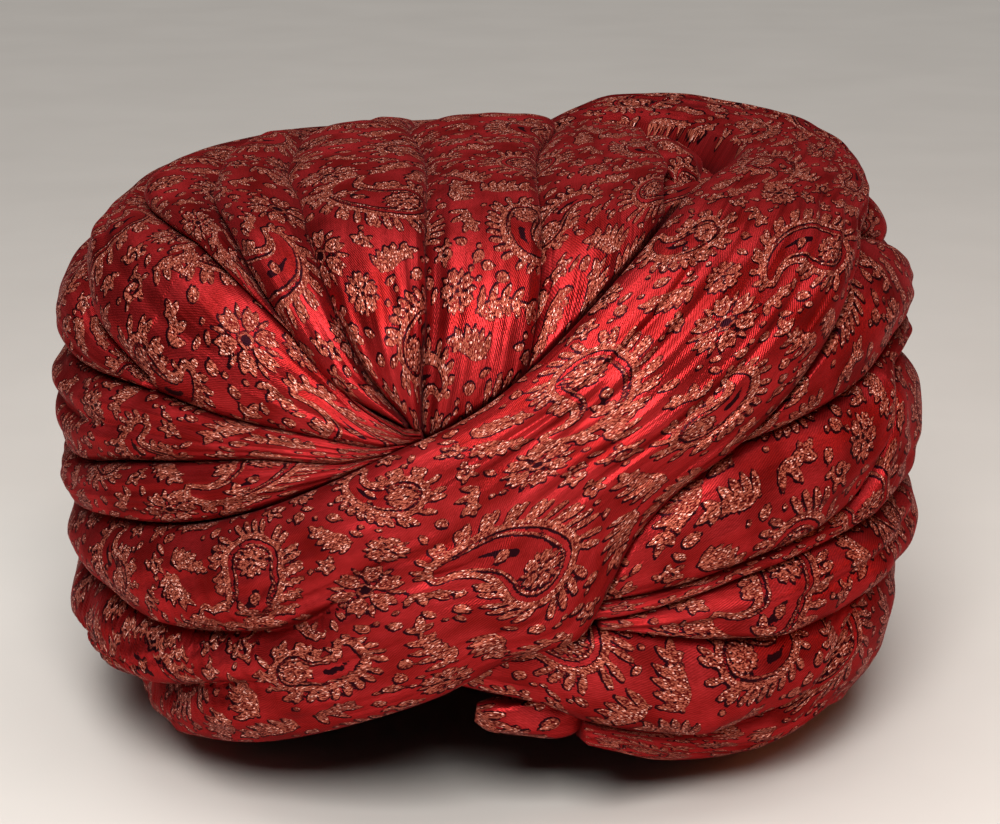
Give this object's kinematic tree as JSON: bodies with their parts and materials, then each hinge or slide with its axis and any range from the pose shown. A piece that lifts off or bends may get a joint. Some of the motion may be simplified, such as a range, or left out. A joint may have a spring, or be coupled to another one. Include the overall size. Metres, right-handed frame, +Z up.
{
  "type": "tied turban",
  "caption": "Tied turban of wound brocade cloth, with pleats over the crown, padded turns round the sides and a broad band across the front.",
  "frame": {"origin": "on the resting surface, under the middle of the turban's outer box", "axes": "+Z up, -Y towards the forehead, +X to the right as seen from the front"},
  "size_m": [0.269, 0.2872, 0.1872],
  "materials": {
    "brocade": "satin ground in crimson with a woven copper and dark navy paisley pattern",
    "inner_cloth": "plain dull satin in dark crimson"
  },
  "bodies": {
    "root": {"inner_turns": "inner_cloth", "cross_band": "brocade", "crown_roll": "brocade", "upper_shoulder_turn": "brocade", "lower_shoulder_turn": "brocade", "upper_side_turn": "brocade", "lower_side_turn": "brocade", "middle_right_turn": "brocade", "arch_right_turn": "brocade", "lowest_right_turn": "brocade", "crown_pleat_1": "brocade", "crown_pleat_2": "brocade", "crown_pleat_3": "brocade", "crown_pleat_4": "brocade", "crown_pleat_5": "brocade", "hollow_tuck": "brocade", "tail_end": "brocade"}
  },
  "joints": []
}
